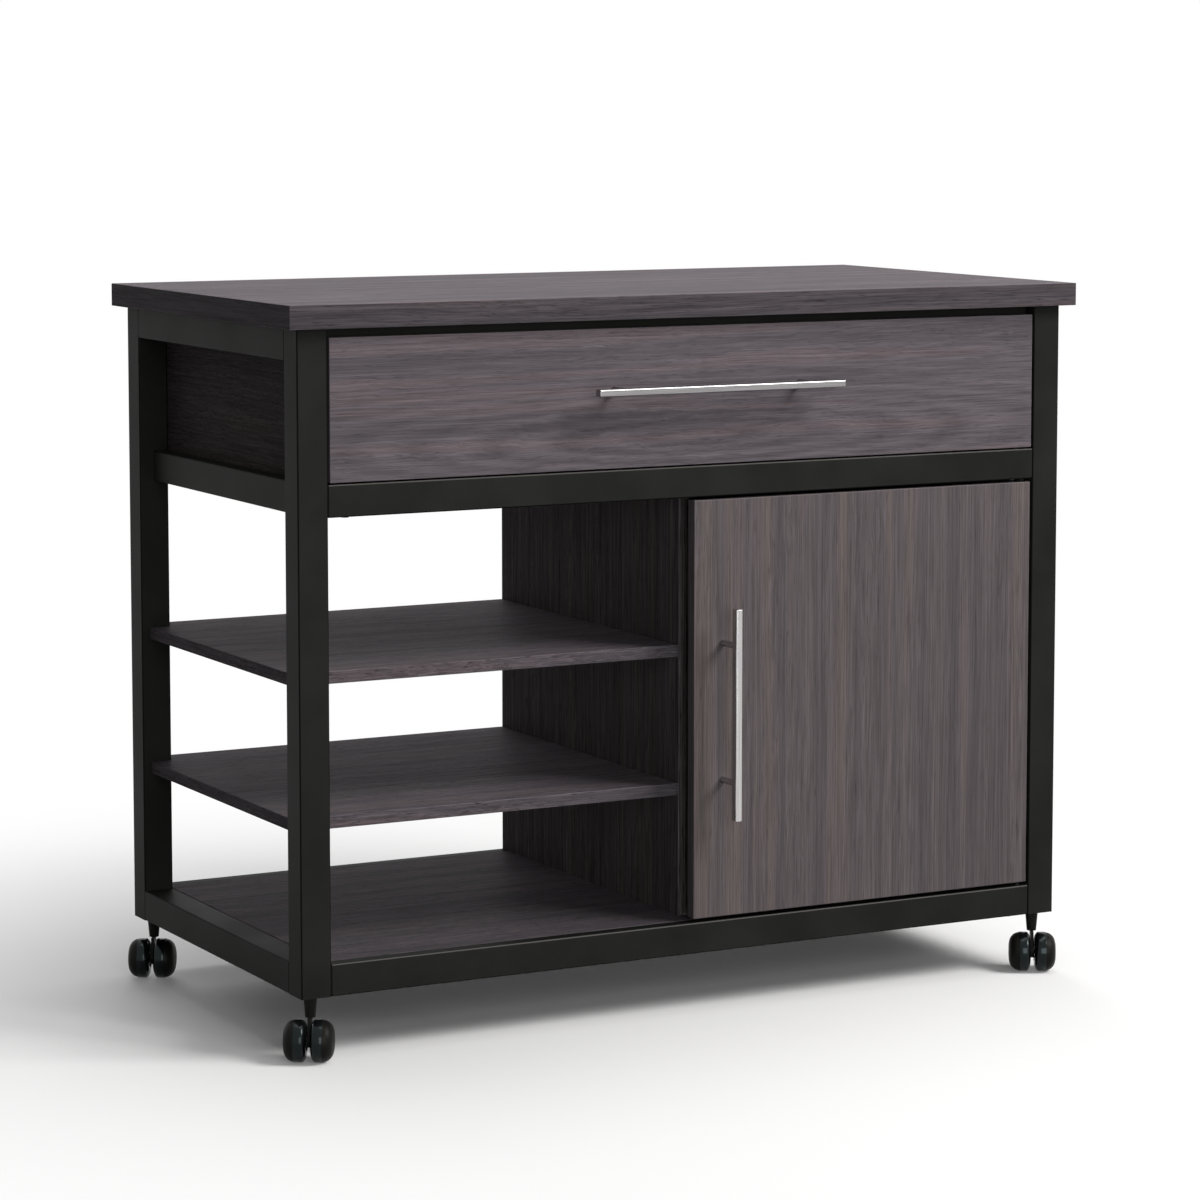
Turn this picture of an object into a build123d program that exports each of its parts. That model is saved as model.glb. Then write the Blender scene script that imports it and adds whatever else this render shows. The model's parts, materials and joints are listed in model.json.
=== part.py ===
from build123d import *
from math import cos, radians, sin
import os

os.makedirs("parts", exist_ok=True)

# Kitchen cart with one wide drawer, a cupboard on the right and open shelves on the left.
# Millimetres. X runs to the right, Y to the back, Z up from the floor.

# Overall sizes
total_height = 880.0
caster_height = 75.0
frame_width = 1046.0
frame_depth = 530.0
worktop_thickness = 28.0
worktop_overhang = 15.0
handle_reach = 42.0

# Steel tube
post_size = 38.0
rail_height = 38.0
rail_depth = 20.0
tube_wall = 1.5
tube_corner = 2.0
spigot_length = 35.0
spigot_wall = 2.0
spigot_fit = 0.2
rail_end_gap = 1.0
drawer_bay_height = 142.0

# Boards
board_thickness = 15.0
front_thickness = 16.0
back_panel_thickness = 12.0
back_panel_gap = 4.0
board_gap = 0.3
edge_round = 1.0
top_rail_setback = 18.0
deck_rise = 21.0
recess = 47.0
divider_left = 1.0
cupboard_wall_setback = 24.0

# Open shelves and cupboard shelf
upper_shelf_rise = 171.0
lower_shelf_rise = 165.0
cupboard_shelf_rise = 267.0
cupboard_shelf_setback = 60.0
shelf_wing = 27.0
pin_radius = 2.5
pin_fit = 0.05
pin_embed = 8.0
pin_reach = 10.0
post_pin_inset = 23.0
front_pin_inset = 97.0
rear_pin_inset = 48.5

# Drawer
drawer_side_gap = 2.5
drawer_bottom_gap = 2.0
drawer_top_gap = 11.0
slide_width = 12.7
slide_length = 400.0
slide_setback = 20.0
slide_height = 45.0
slide_metal = 1.2
slide_play = 0.4
middle_member_short = 20.0
box_board = 12.0
box_height = 120.0
box_length = 400.0
box_lift = 12.0
drawer_bottom_thickness = 6.0
groove_depth = 6.0
groove_lift = 10.0
groove_play = 0.1

# Door
door_left = -3.5
door_right_gap = 3.5
door_top_gap = 4.0
door_bottom_gap = 5.0
pivot_inset = 10.0
pivot_radius = 2.5
pivot_play = 0.05
pivot_collar_radius = 5.0
collar_gap = 0.3
pin_end_gap = 2.0
top_collar_height = 2.5
bush_radius = 4.5
bush_length = 12.0
bush_play = 0.05

# Bar handles
bar_width = 8.5
bar_thickness = 12.0
bar_round = 2.0
handle_post_radius = 4.0
handle_post_bite = 1.0
handle_screw_end_gap = 1.0
drawer_bar_length = 336.5
drawer_bar_x = 14.5
drawer_bar_rise = 94.0
drawer_post_spacing = 256.0
door_bar_length = 258.0
door_bar_x = 36.0
door_bar_drop = 130.0
door_post_spacing = 168.0

# Magnetic catch
catch_width = 14.0
catch_length = 56.0
catch_height = 14.0
catch_drop = 30.0
catch_nose = 5.0
magnet_radius = 5.0
strike_thickness = 1.0
strike_height = 24.0

# Screws and dowels
screw_fit = 0.05
rail_screw_radius = 2.5
rail_screw_length = 8.0
rail_screw_inset = 25.0
rail_screw_head_radius = 4.5
rail_screw_head_height = 1.2
worktop_screw_radius = 2.4
worktop_screw_bite = 18.0
worktop_screw_head_radius = 5.0
worktop_screw_spacing = 150.0
cleat_screw_radius = 2.0
cleat_screw_bite = 12.0
cleat_screw_head_radius = 4.0
cleat_screw_head_height = 2.0
handle_screw_radius = 2.0
handle_screw_bite = 10.0
handle_screw_head_radius = 4.0
handle_screw_head_height = 2.5
dowel_radius = 4.0
dowel_bite = 12.0
dowel_play = 0.05
dowel_end_play = 0.3
dowel_inset = 100.0
bay_dowel_inset = 120.0
rear_bay_dowel_x = 250.0

# Cleats
cleat_leg = 20.0
cleat_metal = 2.0
cleat_width = 30.0
cleat_screw_offset = 12.0
outside_cleat_x = 300.0
inside_cleat_x = -120.0

# Casters
wheel_radius = 25.0
wheel_width = 27.0
wheel_gap = 5.0
inner_face_radius = 14.0
inner_face_reach = 5.5
tread_width = 9.0
rim_step = 0.8
hub_face_radius = 9.0
axle_radius = 3.0
axle_play = 0.06
axle_embed = 17.0
boss_radius = 8.0
hood_wheel_gap = 0.5
trail = 16.0
caster_turn = 30.0
neck_top_radius = 8.0
neck_bottom_radius = 6.0
neck_bottom = 49.5
neck_web_front = 12.0
neck_web_back = 5.0
web_heel = 36.0
stem_radius = 5.5
stem_foot_radius = 4.0
stem_foot_z = 52.0
stem_top_z = 103.0
stem_play = 0.1
collar_radius = 8.0
collar_height = 2.4
collar_play = 0.4
socket_height = 30.0
socket_fit = 0.1

# Places worked out from the sizes above
frame_bottom = caster_height
frame_top = total_height - worktop_thickness
middle_rail_bottom = frame_top - rail_height - drawer_bay_height - rail_height
frame_middle_y = (handle_reach - worktop_overhang) / 2
front = frame_middle_y - frame_depth / 2
back = frame_middle_y + frame_depth / 2
outer_x = frame_width / 2
inner_x = outer_x - post_size
post_x = outer_x - post_size / 2
front_post_y = front + post_size / 2
rear_post_y = back - post_size / 2
front_post_back = front + post_size
rear_post_front = back - post_size
bottom_rail_top = frame_bottom + rail_height
middle_rail_top = middle_rail_bottom + rail_height
top_rail_bottom = frame_top - rail_height
bottom_rail_z = frame_bottom + rail_height / 2
middle_rail_z = middle_rail_bottom + rail_height / 2
top_rail_z = frame_top - rail_height / 2
front_rail_y = front + rail_depth / 2
rear_rail_y = back - rail_depth / 2
front_top_rail_y = front + top_rail_setback + rail_depth / 2
side_rail_x = inner_x + rail_depth / 2
rear_rail_face = back - rail_depth
rail_length = 2 * inner_x - 2 * rail_end_gap
side_rail_length = rear_post_front - front_post_back - 2 * rail_end_gap
deck_bottom = middle_rail_bottom + deck_rise
deck_top = deck_bottom + board_thickness
bottom_shelf_bottom = bottom_rail_top - board_thickness
bay_wall_x = inner_x - board_thickness
divider_right = divider_left + board_thickness
cupboard_wall_x = inner_x - board_thickness
back_panel_front = rear_rail_face
back_panel_top = middle_rail_bottom - back_panel_gap
shelf_front = front + recess
drawer_front_back = front + front_thickness
drawer_bottom_z = middle_rail_top + drawer_bottom_gap
drawer_top_z = frame_top - drawer_top_gap
box_outer_x = bay_wall_x - slide_width
box_inner_x = box_outer_x - box_board
box_bottom_z = middle_rail_top + box_lift
box_top_z = box_bottom_z + box_height
box_back_y = drawer_front_back + box_length
slide_z = box_bottom_z + box_height / 2
slide_front = front + slide_setback
door_right = inner_x - door_right_gap
door_bottom_z = bottom_rail_top + door_bottom_gap
door_top_z = middle_rail_bottom - door_top_gap
pivot_x = door_right - pivot_inset
pivot_y = front + front_thickness / 2
pivot_tail = tube_wall + spigot_fit + spigot_wall
drawer_bar_z = drawer_bottom_z + drawer_bar_rise
door_bar_z = door_top_z - door_bar_drop - door_bar_length / 2
catch_z = door_top_z - catch_drop
bar_front = front - handle_reach
bar_back = bar_front + bar_thickness
handle_post_length = front - bar_back + handle_post_bite

# Spigots and rails share these rows: name, rail centre in Y, rail centre in Z
cross_rails = [
    ("front_top_rail", front_top_rail_y, top_rail_z),
    ("front_middle_rail", front_rail_y, middle_rail_z),
    ("front_bottom_rail", front_rail_y, bottom_rail_z),
    ("rear_top_rail", rear_rail_y, top_rail_z),
    ("rear_middle_rail", rear_rail_y, middle_rail_z),
    ("rear_bottom_rail", rear_rail_y, bottom_rail_z),
]
spigot_outer = (rail_depth - 2 * tube_wall - 2 * spigot_fit, rail_height - 2 * tube_wall - 2 * spigot_fit)
spigot_inner = (spigot_outer[0] - 2 * spigot_wall, spigot_outer[1] - 2 * spigot_wall)
lower_shelf_top = bottom_rail_top + lower_shelf_rise
upper_shelf_top = lower_shelf_top + upper_shelf_rise
cupboard_shelf_top = bottom_rail_top + cupboard_shelf_rise
open_shelf_tops = (upper_shelf_top, lower_shelf_top)
post_pin_x = -inner_x - shelf_wing / 2
wall_pin_ys = (front + front_pin_inset, back - rear_pin_inset)
worktop_screw_ys = [frame_middle_y + step * worktop_screw_spacing for step in (-1, 0, 1)]
dowel_front_y = front + dowel_inset
dowel_rear_y = back - dowel_inset
bay_dowel_front_y = front + bay_dowel_inset
bay_dowel_rear_y = back - bay_dowel_inset
rear_bay_y = rear_rail_face - board_gap - board_thickness / 2


def block(x_low, x_high, y_low, y_high, z_low, z_high, mode=Mode.ADD):
    # A box between two corners
    middle = ((x_low + x_high) / 2, (y_low + y_high) / 2, (z_low + z_high) / 2)
    with Locations(middle):
        Box(x_high - x_low, y_high - y_low, z_high - z_low, mode=mode)


def rod(start, radius, length, along, mode=Mode.ADD):
    # A round bar from start, along "X", "Y" or "Z", backwards where the length is negative
    turns = {"X": (0, 90, 0), "Y": (-90, 0, 0), "Z": (0, 0, 0)}
    step = {"X": (length / 2, 0, 0), "Y": (0, length / 2, 0), "Z": (0, 0, length / 2)}[along]
    with Locations(Location(Vector(*start) + Vector(*step), turns[along])):
        Cylinder(radius, abs(length), mode=mode)


def finish(piece, label):
    piece.part.label = label
    export_step(piece.part, f"parts/{label}.step")


# Side frames


def side_frame(side):
    # Posts, top rail and bottom rail welded into one frame
    with BuildPart() as frame:
        for post_y in (front_post_y, rear_post_y):
            with BuildSketch(Plane.XY.offset(frame_bottom)):
                with Locations((side * post_x, post_y)):
                    RectangleRounded(post_size, post_size, tube_corner)
                    bore = post_size - 2 * tube_wall
                    RectangleRounded(bore, bore, tube_corner - tube_wall, mode=Mode.SUBTRACT)
            extrude(amount=frame_top - frame_bottom)
        for rail_z in (bottom_rail_z, top_rail_z):
            with BuildSketch(Plane.XZ.offset(-front_post_back)):
                with Locations((side * post_x, rail_z)):
                    RectangleRounded(post_size, rail_height, tube_corner)
                    RectangleRounded(
                        post_size - 2 * tube_wall,
                        rail_height - 2 * tube_wall,
                        tube_corner - tube_wall,
                        mode=Mode.SUBTRACT,
                    )
            extrude(amount=-(rear_post_front - front_post_back))
        # Holes through the top rail for the worktop's screws
        for screw_y in worktop_screw_ys:
            start = (side * post_x, screw_y, top_rail_bottom)
            rod(start, worktop_screw_radius + screw_fit, rail_height, "Z", Mode.SUBTRACT)
        if side < 0:
            # Holes in the posts for the open shelves' pins
            pin_hole = pin_radius + pin_fit
            for shelf_top in open_shelf_tops:
                pin_z = shelf_top - board_thickness - pin_radius
                rod((post_pin_x, front_post_back, pin_z), pin_hole, -tube_wall, "Y", Mode.SUBTRACT)
                rod((post_pin_x, rear_post_front, pin_z), pin_hole, tube_wall, "Y", Mode.SUBTRACT)
    return frame


finish(side_frame(-1), "left_side_frame")
finish(side_frame(1), "right_side_frame")

# Spigots welded to the posts, one for each rail end: place of the screw from below, and its height
rail_screw_rows = [
    (side * (inner_x - rail_screw_inset), rail_y, rail_z - rail_height / 2)
    for name, rail_y, rail_z in cross_rails
    for side in (-1, 1)
]
rail_screw_rows += [
    (side * side_rail_x, screw_y, middle_rail_bottom)
    for screw_y in (front_post_back + rail_screw_inset, rear_post_front - rail_screw_inset)
    for side in (-1, 1)
]

with BuildPart() as rail_spigots:
    for side in (-1, 1):
        for name, rail_y, rail_z in cross_rails:
            with BuildSketch(Plane.YZ.offset(side * inner_x)):
                with Locations((rail_y, rail_z)):
                    Rectangle(*spigot_outer)
                    Rectangle(*spigot_inner, mode=Mode.SUBTRACT)
            extrude(amount=-side * spigot_length)
        for spigot_start, away in ((front_post_back, 1), (rear_post_front, -1)):
            with BuildSketch(Plane.XZ.offset(-spigot_start)):
                with Locations((side * side_rail_x, middle_rail_z)):
                    Rectangle(*spigot_outer)
                    Rectangle(*spigot_inner, mode=Mode.SUBTRACT)
            extrude(amount=-away * spigot_length)
    for point in rail_screw_rows:
        rod(point, rail_screw_radius + screw_fit, rail_screw_length, "Z", Mode.SUBTRACT)
    # The door's pivot pins pass through the front spigots on the right
    pivot_hole = pivot_radius + pivot_play
    rod((pivot_x, pivot_y, middle_rail_bottom), pivot_hole, pivot_tail, "Z", Mode.SUBTRACT)
    rod((pivot_x, pivot_y, bottom_rail_top), pivot_hole, -pivot_tail, "Z", Mode.SUBTRACT)
finish(rail_spigots, "rail_spigots")

# Cross rails


def cross_rail(name, rail_y, rail_z):
    # An open tube that slides over a spigot at each end
    with BuildPart() as rail:
        with BuildSketch(Plane.YZ.offset(-rail_length / 2)):
            with Locations((rail_y, rail_z)):
                RectangleRounded(rail_depth, rail_height, tube_corner)
                RectangleRounded(
                    rail_depth - 2 * tube_wall,
                    rail_height - 2 * tube_wall,
                    tube_corner - tube_wall,
                    mode=Mode.SUBTRACT,
                )
        extrude(amount=rail_length)
        for side in (-1, 1):
            start = (side * (inner_x - rail_screw_inset), rail_y, rail_z - rail_height / 2)
            rod(start, rail_screw_radius + screw_fit, tube_wall, "Z", Mode.SUBTRACT)
        if name == "front_middle_rail":
            start = (pivot_x, pivot_y, middle_rail_bottom)
            rod(start, pivot_radius + pivot_play, tube_wall, "Z", Mode.SUBTRACT)
        if name == "front_bottom_rail":
            start = (pivot_x, pivot_y, bottom_rail_top)
            rod(start, pivot_radius + pivot_play, -tube_wall, "Z", Mode.SUBTRACT)
    return rail


for rail_name, rail_middle_y, rail_middle_z in cross_rails:
    finish(cross_rail(rail_name, rail_middle_y, rail_middle_z), rail_name)

with BuildPart() as side_middle_rails:
    for side in (-1, 1):
        with BuildSketch(Plane.XZ.offset(-(front_post_back + rail_end_gap))):
            with Locations((side * side_rail_x, middle_rail_z)):
                RectangleRounded(rail_depth, rail_height, tube_corner)
                RectangleRounded(
                    rail_depth - 2 * tube_wall,
                    rail_height - 2 * tube_wall,
                    tube_corner - tube_wall,
                    mode=Mode.SUBTRACT,
                )
        extrude(amount=-side_rail_length)
        for screw_y in (front_post_back + rail_screw_inset, rear_post_front - rail_screw_inset):
            start = (side * side_rail_x, screw_y, middle_rail_bottom)
            rod(start, rail_screw_radius + screw_fit, tube_wall, "Z", Mode.SUBTRACT)
finish(side_middle_rails, "side_middle_rails")

# Screws that hold the rails on their spigots, heads below
with BuildPart() as rail_screws:
    for point in rail_screw_rows:
        rod(point, rail_screw_radius, rail_screw_length, "Z")
        rod(point, rail_screw_head_radius, -rail_screw_head_height, "Z")
finish(rail_screws, "rail_screws")

# Cleats: place of the corner where the rail's face meets the board, and the way into the cart
cleat_rows = []
for cleat_x in (-outside_cleat_x, inside_cleat_x, outside_cleat_x):
    cleat_rows.append(("bottom", cleat_x, front + rail_depth, bottom_shelf_bottom, "Y", 1))
    cleat_rows.append(("bottom", cleat_x, rear_rail_face, bottom_shelf_bottom, "Y", -1))
for cleat_x in (-outside_cleat_x, outside_cleat_x):
    cleat_rows.append(("deck", cleat_x, front + rail_depth, deck_bottom, "Y", 1))
    cleat_rows.append(("deck", cleat_x, rear_rail_face, deck_bottom, "Y", -1))
    cleat_rows.append(("worktop", cleat_x, front + top_rail_setback + rail_depth, frame_top, "Y", 1))
for cleat_side in (-1, 1):
    cleat_rows.append(("bottom", cleat_side * inner_x, frame_middle_y, bottom_shelf_bottom, "X", -cleat_side))
cleat_rows.append(("deck", -inner_x, frame_middle_y, deck_bottom, "X", 1))


def cleat_screw_point(row):
    # Where a cleat's screw passes through the underside of its board
    board, x, y, z, way, sign = row
    if way == "Y":
        return (x, y + sign * cleat_screw_offset, z)
    return (x + sign * cleat_screw_offset, y, z)


def board_screw_holes(board):
    # Pilot holes for the cleat screws under one board
    for row in cleat_rows:
        if row[0] == board:
            radius = cleat_screw_radius + screw_fit
            rod(cleat_screw_point(row), radius, cleat_screw_bite + screw_fit, "Z", Mode.SUBTRACT)


with BuildPart() as board_cleats:
    for row in cleat_rows:
        board, x, y, z, way, sign = row
        half = cleat_width / 2
        if way == "Y":
            near, thin, far = y, y + sign * cleat_metal, y + sign * cleat_leg
            block(x - half, x + half, min(near, thin), max(near, thin), z - cleat_leg, z)
            block(x - half, x + half, min(near, far), max(near, far), z - cleat_metal, z)
        else:
            near, thin, far = x, x + sign * cleat_metal, x + sign * cleat_leg
            block(min(near, thin), max(near, thin), y - half, y + half, z - cleat_leg, z)
            block(min(near, far), max(near, far), y - half, y + half, z - cleat_metal, z)
        rod(cleat_screw_point(row), cleat_screw_radius + screw_fit, -cleat_metal, "Z", Mode.SUBTRACT)
finish(board_cleats, "board_cleats")

with BuildPart() as cleat_screws:
    for row in cleat_rows:
        screw_x, screw_y, board_z = cleat_screw_point(row)
        head_top = (screw_x, screw_y, board_z - cleat_metal)
        rod(head_top, cleat_screw_radius, cleat_metal + cleat_screw_bite, "Z")
        rod(head_top, cleat_screw_head_radius, -cleat_screw_head_height, "Z")
finish(cleat_screws, "cleat_screws")

# Dowels between boards: place in X and Y, height of the joint
dowel_rows = [
    (x, y, z)
    for x in ((divider_left + divider_right) / 2, cupboard_wall_x + board_thickness / 2)
    for y in (dowel_front_y, dowel_rear_y)
    for z in (bottom_rail_top, deck_bottom)
]
dowel_rows += [
    (side * (bay_wall_x + board_thickness / 2), y, deck_top)
    for side in (-1, 1)
    for y in (bay_dowel_front_y, bay_dowel_rear_y)
]
dowel_rows += [(side * rear_bay_dowel_x, rear_bay_y, deck_top) for side in (-1, 1)]


def dowel_holes(joint_z, upward):
    # Blind holes of one joint height, drilled up or down from the joint
    depth = dowel_bite + dowel_end_play
    for x, y, z in dowel_rows:
        if z == joint_z:
            rod((x, y, z), dowel_radius + dowel_play, depth if upward else -depth, "Z", Mode.SUBTRACT)


with BuildPart() as panel_dowels:
    for x, y, z in dowel_rows:
        rod((x, y, z - dowel_bite), dowel_radius, 2 * dowel_bite, "Z")
finish(panel_dowels, "panel_dowels")

# Boards

with BuildPart() as worktop:
    block(
        -outer_x - worktop_overhang,
        outer_x + worktop_overhang,
        front - worktop_overhang,
        back + worktop_overhang,
        frame_top,
        total_height,
    )
    fillet(worktop.edges(), edge_round)
    for side in (-1, 1):
        for screw_y in worktop_screw_ys:
            start = (side * post_x, screw_y, frame_top)
            rod(start, worktop_screw_radius + screw_fit, worktop_screw_bite + screw_fit, "Z", Mode.SUBTRACT)
    board_screw_holes("worktop")
finish(worktop, "worktop")

with BuildPart() as worktop_screws:
    for side in (-1, 1):
        for screw_y in worktop_screw_ys:
            head_top = (side * post_x, screw_y, top_rail_bottom)
            rod(head_top, worktop_screw_radius, rail_height + worktop_screw_bite, "Z")
            rod(head_top, worktop_screw_head_radius, -rail_screw_head_height, "Z")
finish(worktop_screws, "worktop_screws")

with BuildPart() as bottom_shelf:
    block(
        -inner_x + board_gap,
        inner_x - board_gap,
        front + rail_depth + board_gap,
        rear_rail_face - board_gap,
        bottom_shelf_bottom,
        bottom_rail_top,
    )
    fillet(bottom_shelf.edges().group_by(Axis.Z)[-1], edge_round)
    board_screw_holes("bottom")
    dowel_holes(bottom_rail_top, False)
finish(bottom_shelf, "bottom_shelf")

with BuildPart() as deck_panel:
    block(
        -inner_x + board_gap,
        inner_x - board_gap,
        front + rail_depth + board_gap,
        rear_rail_face - board_gap,
        deck_bottom,
        deck_top,
    )
    board_screw_holes("deck")
    dowel_holes(deck_bottom, True)
    dowel_holes(deck_top, False)
finish(deck_panel, "deck_panel")


def bay_wall(side):
    # Wall of the drawer bay, against the inner faces of the posts and side rails
    with BuildPart() as wall:
        low_x, high_x = sorted((side * bay_wall_x, side * inner_x))
        block(low_x, high_x, front_post_back + board_gap, rear_rail_face - board_gap, deck_top, frame_top)
        dowel_holes(deck_top, True)
    return wall


finish(bay_wall(-1), "left_bay_panel")
finish(bay_wall(1), "right_bay_panel")

with BuildPart() as rear_bay_panel:
    block(
        -bay_wall_x + board_gap,
        bay_wall_x - board_gap,
        rear_bay_y - board_thickness / 2,
        rear_bay_y + board_thickness / 2,
        deck_top,
        frame_top,
    )
    dowel_holes(deck_top, True)
finish(rear_bay_panel, "rear_bay_panel")

with BuildPart() as divider_panel:
    block(divider_left, divider_right, shelf_front, back - edge_round, bottom_rail_top, deck_bottom)
    # Notch under the rear middle rail
    block(
        divider_left,
        divider_right,
        rear_rail_face - board_gap,
        back,
        middle_rail_bottom - board_gap,
        deck_bottom,
        Mode.SUBTRACT,
    )
    fillet(divider_panel.edges().filter_by(Axis.Z).group_by(Axis.Y)[0], edge_round)
    dowel_holes(bottom_rail_top, True)
    dowel_holes(deck_bottom, False)
    for shelf_top in open_shelf_tops:
        for pin_y in wall_pin_ys:
            start = (divider_left, pin_y, shelf_top - board_thickness - pin_radius)
            rod(start, pin_radius + pin_fit, pin_embed + pin_fit, "X", Mode.SUBTRACT)
    for pin_y in wall_pin_ys:
        start = (divider_right, pin_y, cupboard_shelf_top - board_thickness - pin_radius)
        rod(start, pin_radius + pin_fit, -(pin_embed + pin_fit), "X", Mode.SUBTRACT)
finish(divider_panel, "divider_panel")

with BuildPart() as cupboard_side_panel:
    block(
        cupboard_wall_x,
        inner_x,
        front + cupboard_wall_setback,
        rear_rail_face - board_gap,
        bottom_rail_top,
        deck_bottom,
    )
    fillet(cupboard_side_panel.edges().filter_by(Axis.Z).group_by(Axis.Y)[0], edge_round)
    dowel_holes(bottom_rail_top, True)
    dowel_holes(deck_bottom, False)
    for pin_y in wall_pin_ys:
        start = (cupboard_wall_x, pin_y, cupboard_shelf_top - board_thickness - pin_radius)
        rod(start, pin_radius + pin_fit, pin_embed + pin_fit, "X", Mode.SUBTRACT)
finish(cupboard_side_panel, "cupboard_side_panel")

with BuildPart() as cupboard_back_panel:
    block(
        divider_right + board_gap,
        inner_x - board_gap,
        back_panel_front,
        back_panel_front + back_panel_thickness,
        bottom_rail_top,
        back_panel_top,
    )
finish(cupboard_back_panel, "cupboard_back_panel")


def open_shelf(shelf_top):
    # Reaches out between the left posts and is notched round the rear one
    with BuildPart() as shelf:
        block(
            -inner_x - shelf_wing,
            divider_left - board_gap,
            shelf_front,
            back - edge_round,
            shelf_top - board_thickness,
            shelf_top,
        )
        block(
            -inner_x - shelf_wing,
            -inner_x + board_gap,
            rear_post_front - board_gap,
            back,
            shelf_top - board_thickness,
            shelf_top,
            Mode.SUBTRACT,
        )
        fillet(shelf.edges().group_by(Axis.Z)[-1], edge_round)
        fillet(shelf.edges().group_by(Axis.Z)[0], edge_round)
    return shelf


finish(open_shelf(upper_shelf_top), "upper_open_shelf")
finish(open_shelf(lower_shelf_top), "lower_open_shelf")

with BuildPart() as cupboard_shelf:
    block(
        divider_right + board_gap,
        cupboard_wall_x - board_gap,
        front + cupboard_shelf_setback,
        rear_rail_face - board_gap,
        cupboard_shelf_top - board_thickness,
        cupboard_shelf_top,
    )
    fillet(cupboard_shelf.edges().group_by(Axis.Y)[0].filter_by(Axis.X), edge_round)
finish(cupboard_shelf, "cupboard_shelf")

with BuildPart() as shelf_pins:
    for shelf_top in open_shelf_tops:
        pin_z = shelf_top - board_thickness - pin_radius
        pin_length = pin_embed + post_pin_inset
        rod((post_pin_x, front_post_back - pin_embed, pin_z), pin_radius, pin_length, "Y")
        rod((post_pin_x, rear_post_front + pin_embed, pin_z), pin_radius, -pin_length, "Y")
        for pin_y in wall_pin_ys:
            rod((divider_left + pin_embed, pin_y, pin_z), pin_radius, -(pin_embed + pin_reach), "X")
    pin_z = cupboard_shelf_top - board_thickness - pin_radius
    for pin_y in wall_pin_ys:
        rod((divider_right - pin_embed, pin_y, pin_z), pin_radius, pin_embed + pin_reach, "X")
        rod((cupboard_wall_x + pin_embed, pin_y, pin_z), pin_radius, -(pin_embed + pin_reach), "X")
finish(shelf_pins, "shelf_pins")

# Drawer

handle_post_xs = [drawer_bar_x + side * drawer_post_spacing / 2 for side in (-1, 1)]

with BuildPart() as drawer_front:
    block(
        -inner_x + drawer_side_gap,
        inner_x - drawer_side_gap,
        front,
        drawer_front_back,
        drawer_bottom_z,
        drawer_top_z,
    )
    fillet(drawer_front.edges(), edge_round)
    for x in handle_post_xs:
        start = (x, front, drawer_bar_z)
        rod(start, handle_screw_radius + screw_fit, front_thickness, "Y", Mode.SUBTRACT)
finish(drawer_front, "drawer_front")

with BuildPart() as drawer_box_front:
    block(
        -box_inner_x,
        box_inner_x,
        drawer_front_back,
        drawer_front_back + box_board,
        box_bottom_z,
        box_top_z,
    )
    block(
        -box_inner_x,
        box_inner_x,
        drawer_front_back + box_board - groove_depth,
        drawer_front_back + box_board,
        box_bottom_z + groove_lift,
        box_bottom_z + groove_lift + drawer_bottom_thickness,
        Mode.SUBTRACT,
    )
    for x in handle_post_xs:
        start = (x, drawer_front_back, drawer_bar_z)
        rod(start, handle_screw_radius + screw_fit, box_board, "Y", Mode.SUBTRACT)
finish(drawer_box_front, "drawer_box_front")


def drawer_side(side):
    with BuildPart() as wall:
        low_x, high_x = sorted((side * box_inner_x, side * box_outer_x))
        block(low_x, high_x, drawer_front_back, box_back_y, box_bottom_z, box_top_z)
        low_x, high_x = sorted((side * box_inner_x, side * (box_inner_x + groove_depth)))
        block(
            low_x,
            high_x,
            drawer_front_back,
            box_back_y,
            box_bottom_z + groove_lift,
            box_bottom_z + groove_lift + drawer_bottom_thickness,
            Mode.SUBTRACT,
        )
    return wall


finish(drawer_side(-1), "drawer_left_side")
finish(drawer_side(1), "drawer_right_side")

with BuildPart() as drawer_back:
    block(-box_inner_x, box_inner_x, box_back_y - box_board, box_back_y, box_bottom_z, box_top_z)
    block(
        -box_inner_x,
        box_inner_x,
        box_back_y - box_board,
        box_back_y - box_board + groove_depth,
        box_bottom_z + groove_lift,
        box_bottom_z + groove_lift + drawer_bottom_thickness,
        Mode.SUBTRACT,
    )
finish(drawer_back, "drawer_back")

with BuildPart() as drawer_bottom:
    bite = groove_depth - groove_play
    block(
        -box_inner_x - bite,
        box_inner_x + bite,
        drawer_front_back + box_board - bite,
        box_back_y - box_board + bite,
        box_bottom_z + groove_lift,
        box_bottom_z + groove_lift + drawer_bottom_thickness,
    )
finish(drawer_bottom, "drawer_bottom")

with BuildPart() as drawer_handle:
    block(
        drawer_bar_x - drawer_bar_length / 2,
        drawer_bar_x + drawer_bar_length / 2,
        bar_front,
        bar_back,
        drawer_bar_z - bar_width / 2,
        drawer_bar_z + bar_width / 2,
    )
    fillet(drawer_handle.edges().filter_by(Axis.X), bar_round)
    fillet(drawer_handle.edges().group_by(Axis.X)[0], edge_round / 2)
    fillet(drawer_handle.edges().group_by(Axis.X)[-1], edge_round / 2)
    for x in handle_post_xs:
        rod((x, bar_back - handle_post_bite, drawer_bar_z), handle_post_radius, handle_post_length, "Y")
        rod((x, front, drawer_bar_z), handle_screw_radius + screw_fit, -handle_screw_bite, "Y", Mode.SUBTRACT)
finish(drawer_handle, "drawer_handle")

with BuildPart() as drawer_handle_screws:
    for x in handle_post_xs:
        head_y = drawer_front_back + box_board
        length = head_y - front + handle_screw_bite - handle_screw_end_gap
        rod((x, head_y, drawer_bar_z), handle_screw_radius, -length, "Y")
        rod((x, head_y, drawer_bar_z), handle_screw_head_radius, handle_screw_head_height, "Y")
finish(drawer_handle_screws, "drawer_handle_screws")

# Drawer slides: three nested channels on each side


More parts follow.
